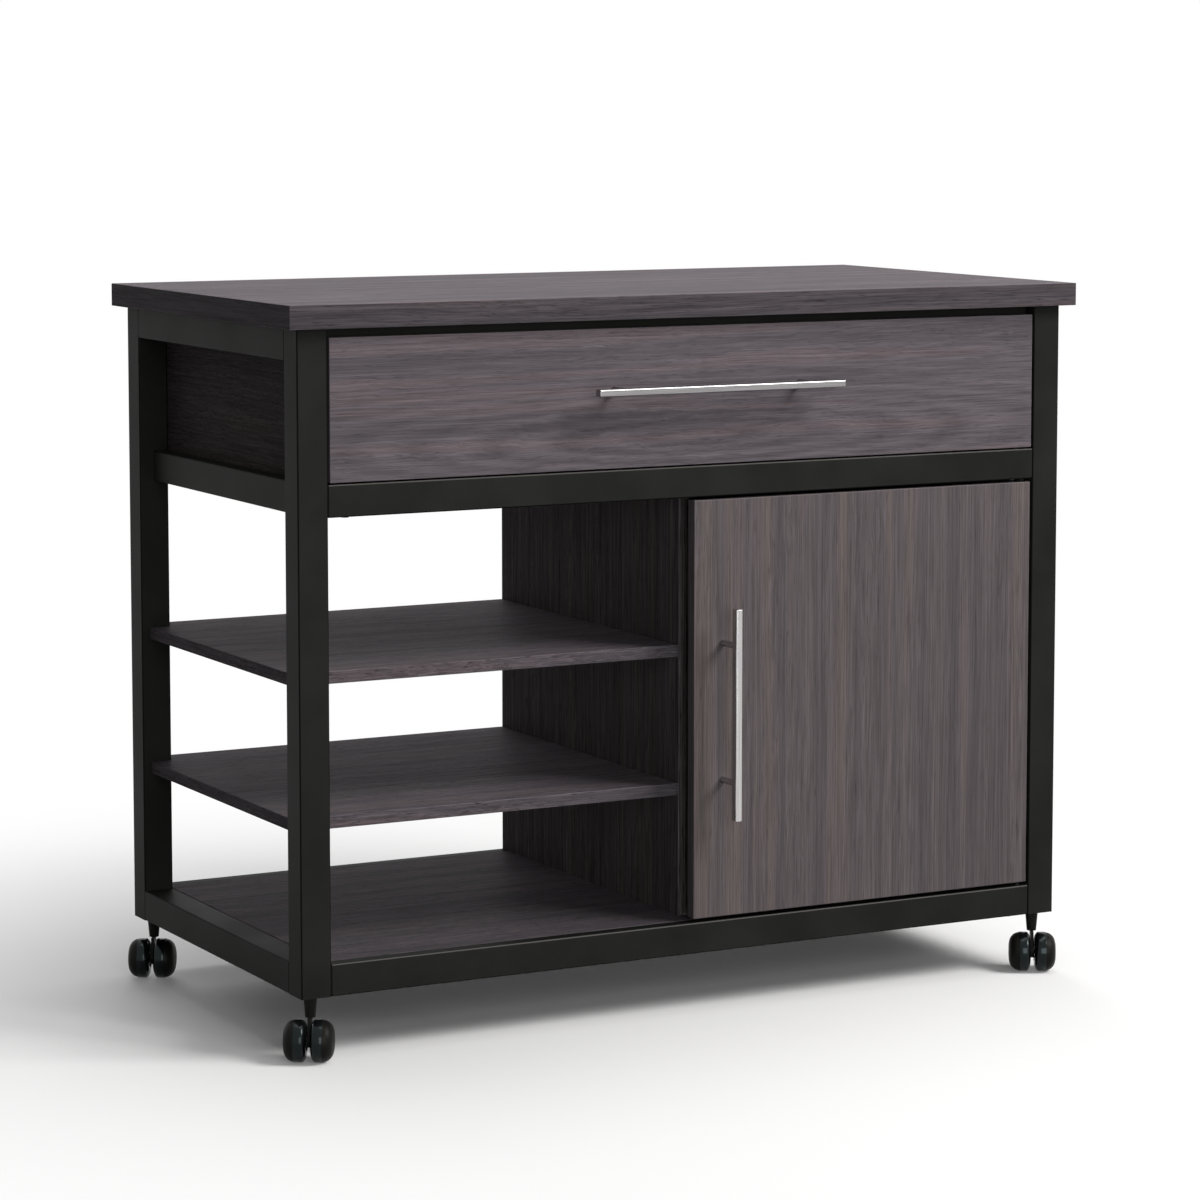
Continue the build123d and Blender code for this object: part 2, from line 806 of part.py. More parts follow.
def channel(side, web, flange, half_height, length, start):
    # web and flange are (from, to) distances from the bay wall towards the drawer
    low_x, high_x = sorted(side * (bay_wall_x - reach) for reach in web)
    block(low_x, high_x, start, start + length, slide_z - half_height, slide_z + half_height)
    low_x, high_x = sorted(side * (bay_wall_x - reach) for reach in flange)
    for edge in (-1, 1):
        low_z, high_z = sorted((edge * half_height, edge * (half_height - slide_metal)))
        block(low_x, high_x, start, start + length, slide_z + low_z, slide_z + high_z)


outer_half = slide_height / 2
middle_half = outer_half - slide_metal - slide_play
inner_half = middle_half - slide_metal - slide_play
middle_web = slide_metal + 2 * slide_play
middle_tip = slide_width - slide_metal - slide_play

with BuildPart() as slide_outer_members:
    for side in (-1, 1):
        channel(side, (0, slide_metal), (0, middle_tip - slide_play), outer_half, slide_length, slide_front)
finish(slide_outer_members, "slide_outer_members")

with BuildPart() as slide_middle_members:
    for side in (-1, 1):
        web = (middle_web, middle_web + slide_metal)
        length = slide_length - middle_member_short
        channel(side, web, (middle_web, middle_tip), middle_half, length, slide_front)
finish(slide_middle_members, "slide_middle_members")

with BuildPart() as slide_inner_members:
    for side in (-1, 1):
        web = (slide_width - slide_metal, slide_width)
        flange = (middle_web + 2 * slide_metal, slide_width)
        channel(side, web, flange, inner_half, slide_length - middle_member_short, slide_front)
finish(slide_inner_members, "slide_inner_members")

# Door

door_post_zs = [door_bar_z + side * door_post_spacing / 2 for side in (-1, 1)]

with BuildPart() as door_panel:
    block(door_left, door_right, front, drawer_front_back, door_bottom_z, door_top_z)
    fillet(door_panel.edges(), edge_round)
    bush_hole = bush_radius + bush_play
    rod((pivot_x, pivot_y, door_bottom_z), bush_hole, bush_length, "Z", Mode.SUBTRACT)
    rod((pivot_x, pivot_y, door_top_z), bush_hole, -bush_length, "Z", Mode.SUBTRACT)
    for z in door_post_zs:
        start = (door_bar_x, front, z)
        rod(start, handle_screw_radius + screw_fit, front_thickness, "Y", Mode.SUBTRACT)
finish(door_panel, "door_panel")

with BuildPart() as door_pivot_bushes:
    rod((pivot_x, pivot_y, door_bottom_z), bush_radius, bush_length, "Z")
    rod((pivot_x, pivot_y, door_top_z), bush_radius, -bush_length, "Z")
    pin_hole = pivot_radius + pivot_play
    rod((pivot_x, pivot_y, door_bottom_z), pin_hole, bush_length, "Z", Mode.SUBTRACT)
    rod((pivot_x, pivot_y, door_top_z), pin_hole, -bush_length, "Z", Mode.SUBTRACT)
finish(door_pivot_bushes, "door_pivot_bushes")

with BuildPart() as door_pivot_pins:
    bottom_collar_height = door_bottom_gap - collar_gap
    rod((pivot_x, pivot_y, bottom_rail_top), pivot_collar_radius, bottom_collar_height, "Z")
    bottom_pin = pivot_tail + door_bottom_gap + bush_length - pin_end_gap
    rod((pivot_x, pivot_y, bottom_rail_top - pivot_tail), pivot_radius, bottom_pin, "Z")
    rod((pivot_x, pivot_y, middle_rail_bottom), pivot_collar_radius, -top_collar_height, "Z")
    top_pin = pivot_tail + door_top_gap + bush_length - pin_end_gap
    rod((pivot_x, pivot_y, middle_rail_bottom + pivot_tail), pivot_radius, -top_pin, "Z")
finish(door_pivot_pins, "door_pivot_pins")

with BuildPart() as door_handle:
    block(
        door_bar_x - bar_width / 2,
        door_bar_x + bar_width / 2,
        bar_front,
        bar_back,
        door_bar_z - door_bar_length / 2,
        door_bar_z + door_bar_length / 2,
    )
    fillet(door_handle.edges().filter_by(Axis.Z), bar_round)
    fillet(door_handle.edges().group_by(Axis.Z)[0], edge_round / 2)
    fillet(door_handle.edges().group_by(Axis.Z)[-1], edge_round / 2)
    for z in door_post_zs:
        rod((door_bar_x, bar_back - handle_post_bite, z), handle_post_radius, handle_post_length, "Y")
        rod((door_bar_x, front, z), handle_screw_radius + screw_fit, -handle_screw_bite, "Y", Mode.SUBTRACT)
finish(door_handle, "door_handle")

with BuildPart() as door_handle_screws:
    for z in door_post_zs:
        length = front_thickness + handle_screw_bite - handle_screw_end_gap
        rod((door_bar_x, drawer_front_back, z), handle_screw_radius, -length, "Y")
        rod((door_bar_x, drawer_front_back, z), handle_screw_head_radius, handle_screw_head_height, "Y")
finish(door_handle_screws, "door_handle_screws")

# Magnetic catch on the divider, and the plate that it holds
catch_x = divider_right + catch_width / 2
strike_face = drawer_front_back + strike_thickness
nose_tip = strike_face + board_gap
catch_front = nose_tip + catch_nose

with BuildPart() as magnetic_catch:
    block(
        divider_right,
        divider_right + catch_width,
        catch_front,
        catch_front + catch_length,
        catch_z - catch_height / 2,
        catch_z + catch_height / 2,
    )
    fillet(magnetic_catch.edges().filter_by(Axis.Y), edge_round)
    rod((catch_x, catch_front, catch_z), magnet_radius, -catch_nose, "Y")
finish(magnetic_catch, "magnetic_catch")

with BuildPart() as strike_plate:
    block(
        catch_x - catch_width / 2,
        catch_x + catch_width / 2,
        drawer_front_back,
        strike_face,
        catch_z - strike_height / 2,
        catch_z + strike_height / 2,
    )
    fillet(strike_plate.edges().filter_by(Axis.Y), edge_round)
finish(strike_plate, "strike_plate")

# Casters

with BuildPart() as caster_sockets:
    for side in (-1, 1):
        for post_y in (front_post_y, rear_post_y):
            plug = post_size - 2 * tube_wall - 2 * socket_fit
            with BuildSketch(Plane.XY.offset(frame_bottom)):
                with Locations((side * post_x, post_y)):
                    RectangleRounded(plug, plug, tube_corner)
                    Circle(stem_radius, mode=Mode.SUBTRACT)
            extrude(amount=socket_height)
finish(caster_sockets, "caster_sockets")

with BuildPart() as caster_stems:
    for side in (-1, 1):
        for post_y in (front_post_y, rear_post_y):
            rod((side * post_x, post_y, frame_bottom), stem_radius, stem_top_z - frame_bottom, "Z")
            rod((side * post_x, post_y, frame_bottom), collar_radius, -collar_height, "Z")
            rod((side * post_x, post_y, frame_bottom), stem_foot_radius, stem_foot_z - frame_bottom, "Z")
finish(caster_stems, "caster_stems")

# A caster in its own frame: X along the axle, Y along the trail, Z up, the stem over the origin
neck_top = frame_bottom - collar_height - collar_play
hood_half = wheel_gap / 2 - hood_wheel_gap
wheel_inside = wheel_gap / 2
wheel_outside = wheel_inside + wheel_width
bore_end = axle_embed + wheel_inside


def caster_place(stem_x, stem_y):
    # The trail points towards the front left
    turn = radians(caster_turn)
    return Plane(
        origin=(stem_x, stem_y, 0),
        x_dir=(cos(turn), -sin(turn), 0),
        z_dir=(0, 0, 1),
    )


def caster_hood(place):
    # Web between the wheels, the neck that turns round the stem, the boss of the axle and the axle
    plate_plane = place * Plane.YZ.offset(-hood_half)
    with BuildPart() as hood:
        with BuildSketch(plate_plane):
            with BuildLine():
                Polyline(
                    (-neck_web_front, neck_bottom),
                    (-trail - boss_radius, wheel_radius),
                    (-trail, wheel_radius - boss_radius),
                    (neck_web_back, web_heel),
                    (neck_web_back, neck_bottom),
                    close=True,
                )
            make_face()
            with Locations((-trail, wheel_radius)):
                Circle(boss_radius)
        extrude(amount=2 * hood_half)
        with BuildSketch(place * Plane.XY.offset(neck_bottom)):
            Circle(neck_bottom_radius)
        with BuildSketch(place * Plane.XY.offset(neck_top)):
            Circle(neck_top_radius)
        loft()
        with BuildSketch(place * Plane.XY.offset(stem_foot_z - stem_play)):
            Circle(stem_foot_radius + stem_play)
        extrude(amount=neck_top - stem_foot_z + 2 * stem_play, mode=Mode.SUBTRACT)
        with BuildSketch(place * Plane.YZ.offset(-bore_end + axle_play)):
            with Locations((-trail, wheel_radius)):
                Circle(axle_radius)
        extrude(amount=2 * (bore_end - axle_play))
    return hood


def caster_wheel(place, side):
    # A domed wheel: flat inner face round the axle, flared out to the tread, rounded outside, closed hub
    wheel_centre = place.from_local_coords((0, -trail, wheel_radius))
    profile_plane = Plane(origin=wheel_centre, x_dir=place.x_dir * side, z_dir=place.y_dir * side)
    tread_x = wheel_inside + inner_face_reach
    dome_x = tread_x + tread_width
    with BuildPart() as wheel:
        with BuildSketch(profile_plane):
            with BuildLine():
                Polyline(
                    (dome_x, wheel_radius - rim_step),
                    (dome_x, wheel_radius),
                    (tread_x, wheel_radius),
                )
                TangentArc(
                    (wheel_inside, inner_face_radius),
                    (tread_x, wheel_radius),
                    tangent=(0, 1),
                )
                Polyline(
                    (wheel_inside, inner_face_radius),
                    (wheel_inside, axle_radius + axle_play),
                    (bore_end, axle_radius + axle_play),
                    (bore_end, 0),
                    (wheel_outside, 0),
                    (wheel_outside, hub_face_radius),
                )
                TangentArc(
                    (dome_x, wheel_radius - rim_step),
                    (wheel_outside, hub_face_radius),
                    tangent=(1, 0),
                )
            make_face()
        revolve(axis=Axis(profile_plane.origin, profile_plane.x_dir))
    return wheel


caster_spots = {
    "front_left": (-post_x, front_post_y),
    "front_right": (post_x, front_post_y),
    "rear_left": (-post_x, rear_post_y),
    "rear_right": (post_x, rear_post_y),
}
for spot_name, spot in caster_spots.items():
    place = caster_place(*spot)
    finish(caster_hood(place), f"caster_hood_{spot_name}")
    finish(caster_wheel(place, -1), f"caster_wheel_{spot_name}_a")
    finish(caster_wheel(place, 1), f"caster_wheel_{spot_name}_b")
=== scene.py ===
# Kitchen cart: finishes, casters, floor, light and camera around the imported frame
import json
from math import cos, radians, sin

import bpy
from mathutils import Matrix, Vector


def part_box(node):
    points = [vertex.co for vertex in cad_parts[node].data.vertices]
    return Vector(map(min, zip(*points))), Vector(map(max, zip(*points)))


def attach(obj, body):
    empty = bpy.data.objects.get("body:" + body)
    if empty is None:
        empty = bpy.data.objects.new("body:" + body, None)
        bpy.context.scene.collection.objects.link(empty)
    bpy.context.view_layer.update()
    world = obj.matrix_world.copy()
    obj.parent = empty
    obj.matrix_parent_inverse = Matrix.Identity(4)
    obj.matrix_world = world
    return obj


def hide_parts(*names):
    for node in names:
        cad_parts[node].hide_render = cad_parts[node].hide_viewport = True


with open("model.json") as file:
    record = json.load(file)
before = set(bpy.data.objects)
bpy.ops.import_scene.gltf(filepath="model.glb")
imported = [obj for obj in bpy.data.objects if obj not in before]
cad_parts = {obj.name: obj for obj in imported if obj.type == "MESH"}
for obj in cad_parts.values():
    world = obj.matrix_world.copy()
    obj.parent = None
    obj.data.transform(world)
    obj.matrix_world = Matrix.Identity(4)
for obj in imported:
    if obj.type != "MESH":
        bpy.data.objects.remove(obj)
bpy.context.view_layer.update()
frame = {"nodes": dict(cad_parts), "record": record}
nodes = frame["nodes"]
print("frame loaded:", len(nodes), "nodes")

axisIndex = {"X": 0, "Y": 1, "Z": 2}
fullTurn = 6.2832


def linearColour(hexColour):
    # sRGB hex to the linear values that the shader wants
    channels = [int(hexColour[i:i + 2], 16) / 255 for i in (0, 2, 4)]
    linear = [c / 12.92 if c <= 0.04045 else ((c + 0.055) / 1.055) ** 2.4 for c in channels]
    return (*linear, 1.0)


def addNode(tree, kind, settings=None, links=None):
    # A node with its settings (attributes by name, sockets by name or number) and its incoming links
    node = tree.nodes.new(kind)
    for key, value in (settings or {}).items():
        if key == "stops":
            ramp = node.color_ramp
            while len(ramp.elements) < len(value):
                ramp.elements.new(0.5)
            for element, (position, colour) in zip(ramp.elements, value):
                element.position = position
                element.color = colour
        elif isinstance(key, str) and key[0].islower():
            setattr(node, key, value)
        else:
            node.inputs[key].default_value = value
    for key, source in (links or {}).items():
        tree.links.new(source, node.inputs[key])
    return node


def newMaterial(name):
    material = bpy.data.materials.new(name)
    material.use_nodes = True
    tree = material.node_tree
    tree.nodes.clear()
    surface = addNode(tree, "ShaderNodeBsdfPrincipled")
    addNode(tree, "ShaderNodeOutputMaterial", links={"Surface": surface.outputs[0]})
    return material, tree, surface


def perMetre(*sizes):
    # Pattern sizes in millimetres to a coordinate scale
    return tuple(1000.0 / size for size in sizes)


def spread(tree, source, span, target):
    # A value over span, its low and high end, to a value over target
    node = addNode(tree, "ShaderNodeMapRange", {
        "From Min": span[0], "From Max": span[1], "To Min": target[0], "To Max": target[1]}, {0: source})
    return node.outputs[0]


# What a noise texture mostly gives
noiseSpan = (0.3, 0.7)

# The largest part of the normal, on a flat and well round an arris
arrisSpan = (0.995, 0.93)


def arrisMask(tree, coords):
    # One on the rounded arrises, where the normal turns away from the axes, and nought on the flats
    turned = addNode(tree, "ShaderNodeVectorMath", {"operation": "ABSOLUTE"}, {0: coords.outputs["Normal"]})
    parts = addNode(tree, "ShaderNodeSeparateXYZ", links={0: turned.outputs[0]})
    larger = addNode(tree, "ShaderNodeMath", {"operation": "MAXIMUM"}, {
        0: parts.outputs[0], 1: parts.outputs[1]})
    largest = addNode(tree, "ShaderNodeMath", {"operation": "MAXIMUM"}, {
        0: larger.outputs[0], 1: parts.outputs[2]})
    return spread(tree, largest.outputs[0], arrisSpan, (0.0, 1.0))


def pressedGrain(tree, surface, height, strength, depth):
    bump = addNode(tree, "ShaderNodeBump", {"Strength": strength, "Distance": depth}, {"Height": height})
    tree.links.new(bump.outputs[0], surface.inputs["Normal"])


# Woodgrain laminate


laminate = {
    "bands": (700, 26, 26),      # broad bands of grey, mauve and brown along the grain
    "streaks": (190, 3.6, 3.6),  # the streaks that give the board its direction
    "fibres": (48, 1.6, 1.6),    # fine fibres, one to two millimetres wide
    "pores": (13, 1.1, 1.1),     # short dark pores
    # Painted highlight on the boards' rounded arrises, set by the next value
    "arrisHighlight": 0.34,               # how much lighter the edging's rounded arris looks
    "wander": (420, 60, 60),     # how the grain drifts sideways over the board
    "wanderDepth": 0.007,
    "curl": (24, 11, 11),        # short waves, only where the figure mask lets them show
    "curlDepth": 0.0016,
    "figure": (230, 60, 60),
    "figureSpan": (0.46, 0.60),
    "wanderSpan": (0.2, 0.8),
    "curlSpan": (0.25, 0.75),
    "poreSpan": (0.30, 0.40),
    "ringSpacing": 0.011,
    "ringStretch": 9.0,
    "ringReach": (0.02, 0.11),   # from the rings' middle, where they are clear and where they have faded
    "ringLeft": 0.15,            # what is left of them further out
    "toneStops": (0.30, 0.42, 0.52, 0.62, 0.74),
    "endFacing": 0.7,            # a face that looks along the grain by more than this is an end
    # Where a face counts as an edge face for the painted shade or light of the edging value
    "edgeFaceSpan": (0.6, 0.8),    # how far a face looks sideways where edging gives way to paper
    "sheenSpread": (0.07, -0.05),
    "bumpStrength": 0.35,
    "bumpDepth": 0.0003,
}


def woodgrainLaminate(name, look):
    # Melamine paper pressed on board: matt, a fine pressed grain that breaks up the sheen
    material, tree, surface = newMaterial(name)
    coords = addNode(tree, "ShaderNodeTexCoord")
    place = addNode(tree, "ShaderNodeSeparateXYZ", links={0: coords.outputs["Object"]})
    facing = addNode(tree, "ShaderNodeSeparateXYZ", links={0: coords.outputs["Normal"]})
    grain = axisIndex[look["grain"]]
    edge = axisIndex[look["edge"]]
    third = 3 - grain - edge
    # On the ends of the board the edging's grain runs along the edge
    board = addNode(tree, "ShaderNodeCombineXYZ", links={
        0: place.outputs[grain], 1: place.outputs[edge], 2: place.outputs[third]})
    edging = addNode(tree, "ShaderNodeCombineXYZ", links={
        0: place.outputs[edge], 1: place.outputs[grain], 2: place.outputs[third]})
    towards = addNode(tree, "ShaderNodeMath", {"operation": "ABSOLUTE"}, {0: facing.outputs[grain]})
    isEnd = addNode(tree, "ShaderNodeMath", {"operation": "GREATER_THAN", 1: laminate["endFacing"]}, {
        0: towards.outputs[0]})
    chosen = addNode(tree, "ShaderNodeMix", {"data_type": "VECTOR"}, {
        0: isEnd.outputs[0], 4: board.outputs[0], 5: edging.outputs[0]})
    shifted = addNode(tree, "ShaderNodeVectorMath", {"operation": "ADD", 1: look["offset"]}, {
        0: chosen.outputs[1]}).outputs[0]

    def layer(size, detail, roughness, source):
        lengthened = (size[0] * look["length"], size[1], size[2])
        scaled = addNode(tree, "ShaderNodeVectorMath", {
            "operation": "MULTIPLY", 1: perMetre(*lengthened)}, {0: source})
        return addNode(tree, "ShaderNodeTexNoise", {
            "Scale": 1.0, "Detail": detail, "Roughness": roughness}, {"Vector": scaled.outputs[0]}).outputs[0]

    def bothWays(depth):
        return (-depth, depth)

    sway = spread(tree, layer(laminate["wander"], 2, 0.5, shifted),
                  laminate["wanderSpan"], bothWays(laminate["wanderDepth"]))
    curl = spread(tree, layer(laminate["curl"], 1, 0.5, shifted),
                  laminate["curlSpan"], bothWays(laminate["curlDepth"]))
    figure = spread(tree, layer(laminate["figure"], 1, 0.5, shifted), laminate["figureSpan"], (0.0, 1.0))
    drift = addNode(tree, "ShaderNodeMath", {"operation": "MULTIPLY_ADD"}, {0: curl, 1: figure, 2: sway})
    swayVector = addNode(tree, "ShaderNodeCombineXYZ", links={1: drift.outputs[0], 2: drift.outputs[0]})
    swayed = addNode(tree, "ShaderNodeVectorMath", {"operation": "ADD"}, {
        0: shifted, 1: swayVector.outputs[0]}).outputs[0]

    bands = layer(laminate["bands"], 3, 0.55, swayed)
    streaks = layer(laminate["streaks"], 3, 0.6, swayed)
    fibres = layer(laminate["fibres"], 2, 0.6, swayed)
    pores = layer(laminate["pores"], 1, 0.5, swayed)

    # Growth rings cut lengthwise: long ovals round one point of the board
    centred = addNode(tree, "ShaderNodeVectorMath", {"operation": "SUBTRACT", 1: look["flame"]}, {0: swayed})
    squeezed = addNode(tree, "ShaderNodeVectorMath", {
        "operation": "MULTIPLY", 1: (1 / laminate["ringStretch"], 1.0, 0.0)}, {0: centred.outputs[0]})
    reach = addNode(tree, "ShaderNodeVectorMath", {"operation": "LENGTH"}, {0: squeezed.outputs[0]})
    phase = addNode(tree, "ShaderNodeMath", {
        "operation": "MULTIPLY", 1: fullTurn / laminate["ringSpacing"]}, {0: reach.outputs["Value"]})
    rings = addNode(tree, "ShaderNodeMath", {"operation": "SINE"}, {0: phase.outputs[0]})
    fade = spread(tree, reach.outputs["Value"], laminate["ringReach"], (1.0, laminate["ringLeft"]))
    flame = addNode(tree, "ShaderNodeMath", {"operation": "MULTIPLY"}, {0: rings.outputs[0], 1: fade})

    tones = [linearColour(tone) for tone in look["tones"]]
    colour = addNode(tree, "ShaderNodeValToRGB", {
        "stops": list(zip(laminate["toneStops"], tones))}, {0: bands})

    contrast = look["contrast"] * look["depth"]
    fibre = look["fibre"] * look["depth"]
    pore = look["pore"] / look["depth"]
    streakLight = spread(tree, streaks, noiseSpan, (1 - contrast, 1 + contrast))
    fibreLight = spread(tree, fibres, noiseSpan, (1 - fibre, 1 + fibre))
    poreLight = spread(tree, pores, laminate["poreSpan"], (pore, 1.0))
    flameLight = addNode(tree, "ShaderNodeMath", {
        "operation": "MULTIPLY_ADD", 1: look["ring"], 2: 1.0}, {0: flame.outputs[0]})
    # Painted highlight along every rounded arris
    paintedEdgeHighlight = addNode(tree, "ShaderNodeMath", {
        "operation": "MULTIPLY_ADD", 1: laminate["arrisHighlight"], 2: 1.0}, {0: arrisMask(tree, coords)})
    # Painted shade and light: each board's shade darkens it for the light it lacks, and its edge faces are
    # scaled by edging, darker than the paper on the flats on the worktop and lighter on the divider's front
    # edge, for how those faces are lit
    flatness = addNode(tree, "ShaderNodeMath", {"operation": "ABSOLUTE"}, {0: facing.outputs[third]})
    paintedFaceShade = spread(tree, flatness.outputs[0], laminate["edgeFaceSpan"],
                         (look["edging"] * look["shade"], look["shade"]))
    light = streakLight
    for part in (fibreLight, poreLight, flameLight.outputs[0], paintedEdgeHighlight.outputs[0], paintedFaceShade):
        light = addNode(tree, "ShaderNodeMath", {"operation": "MULTIPLY"}, {0: light, 1: part}).outputs[0]
    finished = addNode(tree, "ShaderNodeVectorMath", {"operation": "SCALE"}, {
        0: colour.outputs[0], "Scale": light})
    tree.links.new(finished.outputs[0], surface.inputs["Base Color"])

    rougher, smoother = laminate["sheenSpread"]
    sheen = spread(tree, streaks, noiseSpan, (look["roughness"] + rougher, look["roughness"] + smoother))
    tree.links.new(sheen, surface.inputs["Roughness"])
    height = addNode(tree, "ShaderNodeMath", {"operation": "MULTIPLY"}, {0: fibreLight, 1: poreLight})
    pressedGrain(tree, surface, height.outputs[0], laminate["bumpStrength"], laminate["bumpDepth"])
    surface.inputs["Specular IOR Level"].default_value = look["sheen"]
    return material


boardTones = ("534e52", "595458", "5f595e", "645b5e", "696065")
doorTones = ("544f51", "5a5456", "5f585a", "645c5a", "68615f")
# In each board, shade is painted shade for the light that board lacks where it stands (the bay panel, bottom
# shelf and divider most), and edging is painted shade or light on its edge faces
boards = {
    "worktop": {"grain": "X", "edge": "Y", "offset": (0.31, 0.12, 0.4), "flame": (0.1, -0.02, 0),
                "length": 1.8, "contrast": 0.20, "sheen": 0.03, "edging": 0.66, "depth": 1.3, "shade": 0.96},
    "drawer_front": {"grain": "X", "edge": "Z", "offset": (3.1, 0.05, 0.2), "flame": (3.10, 0.76, 0),
                     "length": 1.6, "contrast": 0.13, "ring": 0.12, "shade": 1.03},
    "door_panel": {"grain": "Z", "edge": "X", "offset": (5.3, 0.41, 0.7), "flame": (5.2, 0.72, 0),
                   "length": 2.6, "contrast": 0.15, "tones": doorTones},
    "upper_open_shelf": {"grain": "X", "edge": "Y", "offset": (7.7, 0.9, 0.1), "flame": (7.5, 0.8, 0),
                         "depth": 1.6, "shade": 0.84},
    "lower_open_shelf": {"grain": "X", "edge": "Y", "offset": (9.2, 1.6, 0.6), "flame": (9.0, 1.5, 0),
                         "depth": 1.6, "shade": 0.86},
    "bottom_shelf": {"grain": "X", "edge": "Y", "offset": (11.4, 2.2, 0.3), "flame": (11.2, 2.3, 0),
                     "depth": 1.6, "shade": 0.66},
    "left_bay_panel": {"grain": "Y", "edge": "Z", "offset": (13.2, 0.3, 0.9), "flame": (13.1, 1.1, 0),
                       "depth": 2.8, "shade": 0.44, "tones": doorTones},
    "right_bay_panel": {"grain": "Y", "edge": "Z", "offset": (15.1, 0.6, 0.2), "flame": (15.2, 1.4, 0)},
    "rear_bay_panel": {"grain": "X", "edge": "Z", "offset": (17.6, 0.2, 0.5), "flame": (17.5, 0.95, 0)},
    "deck_panel": {"grain": "X", "edge": "Y", "offset": (19.3, 0.7, 0.4), "flame": (19.2, 0.75, 0)},
    "divider_panel": {"grain": "Z", "edge": "Y", "offset": (21.5, 0.4, 0.8), "flame": (21.9, 0.45, 0),
                      "length": 2.6, "depth": 2.8, "shade": 0.72, "edging": 1.4, "tones": doorTones},
    "cupboard_side_panel": {"grain": "Z", "edge": "Y", "offset": (23.8, 0.8, 0.1), "flame": (24.2, 0.75, 0),
                            "length": 2.0},
    "cupboard_back_panel": {"grain": "Z", "edge": "X", "offset": (25.2, 0.5, 0.6), "flame": (25.6, 0.7, 0),
                            "length": 2.0},
    "cupboard_shelf": {"grain": "X", "edge": "Y", "offset": (27.4, 0.4, 0.9), "flame": (27.6, 0.5, 0)},
}
plainBoard = {"roughness": 0.60, "sheen": 0.02, "contrast": 0.12, "fibre": 0.22, "pore": 0.74, "ring": 0.05,
              "depth": 1.0, "length": 1.0, "shade": 1.0, "edging": 1.0, "tones": boardTones}


coatLook = {
    "cloud": 90,                 # millimetres, how wide the mottle is
    "peel": 2.5,                 # millimetres, how wide the orange peel is
    "cloudStops": (0.35, 0.65),
    "dark": "1f201e",
    "light": "262724",
    # The two arris colours below are painted: a black line of painted shade and reflection, and a pale line
    # of painted highlight
    "paintedDarkArris": "0b0b0a",
    "paintedPaleArris": "545250",
    "turnSpan": (0.2, 0.4),      # how far an arris looks up or forward where its line turns pale
    # Painted shade for faces that look up: where it falls, and how dark
    "topSpan": (0.7, 0.9),       # how far a face looks up where it turns darker
    "paintedTopShade": 0.42,
    "roughness": (0.46, 0.54),
    "bumpStrength": 0.12,
    "bumpDepth": 0.0002,
    "sheen": 0.04,
}


def powderCoat():
    # Polyester powder baked on steel: black, satin, a fine orange peel that softens every highlight
    look = coatLook
    material, tree, surface = newMaterial("Black powder coat")
    coords = addNode(tree, "ShaderNodeTexCoord")
    cloud = addNode(tree, "ShaderNodeTexNoise", {"Scale": 1000 / look["cloud"], "Detail": 3.0}, {
        "Vector": coords.outputs["Object"]})
    peel = addNode(tree, "ShaderNodeTexNoise", {"Scale": 1000 / look["peel"], "Detail": 2.0}, {
        "Vector": coords.outputs["Object"]})
    blacks = (linearColour(look["dark"]), linearColour(look["light"]))
    colour = addNode(tree, "ShaderNodeValToRGB", {"stops": list(zip(look["cloudStops"], blacks))}, {
        0: cloud.outputs[0]})
    # Painted light on the arrises: the upper front ones get a pale line of painted highlight, the others a
    # black line of painted shade and reflection
    facing = addNode(tree, "ShaderNodeSeparateXYZ", links={0: coords.outputs["Normal"]})
    little, much = look["turnSpan"]
    upward = spread(tree, facing.outputs[2], (little, much), (0.0, 1.0))
    forward = spread(tree, facing.outputs[1], (-little, -much), (0.0, 1.0))
    pale = addNode(tree, "ShaderNodeMath", {"operation": "MULTIPLY"}, {0: upward, 1: forward})
    line = addNode(tree, "ShaderNodeMix", {
        "data_type": "RGBA", 6: linearColour(look["paintedDarkArris"]), 7: linearColour(look["paintedPaleArris"])}, {
        0: pale.outputs[0]})
    # Painted shade: faces that look up are darkened, standing in for light they lack
    topFaceShade = spread(tree, facing.outputs[2], look["topSpan"], (1.0, look["paintedTopShade"]))
    shaded = addNode(tree, "ShaderNodeVectorMath", {"operation": "SCALE"}, {
        0: colour.outputs[0], "Scale": topFaceShade})
    coated = addNode(tree, "ShaderNodeMix", {"data_type": "RGBA"}, {
        0: arrisMask(tree, coords), 6: shaded.outputs[0], 7: line.outputs[2]})
    tree.links.new(coated.outputs[2], surface.inputs["Base Color"])
    rough = spread(tree, cloud.outputs[0], noiseSpan, look["roughness"])
    tree.links.new(rough, surface.inputs["Roughness"])
    pressedGrain(tree, surface, peel.outputs[0], look["bumpStrength"], look["bumpDepth"])
    surface.inputs["Specular IOR Level"].default_value = look["sheen"]
    return material


def mottled(tree, surface, look, source, spreadOfRoughness):
    # Dark to light and smooth to rough over the values of one noise texture
    shades = (linearColour(look["dark"]), linearColour(look["light"]))
    colour = addNode(tree, "ShaderNodeValToRGB", {"stops": list(zip(noiseSpan, shades))}, {0: source})
    tree.links.new(colour.outputs[0], surface.inputs["Base Color"])
    below, above = spreadOfRoughness
    rough = spread(tree, source, noiseSpan, (look["roughness"] - below, look["roughness"] + above))
    tree.links.new(rough, surface.inputs["Roughness"])


metal = {"roughnessSpread": (0.04, 0.06), "bumpStrength": 0.08, "bumpDepth": 0.0001}


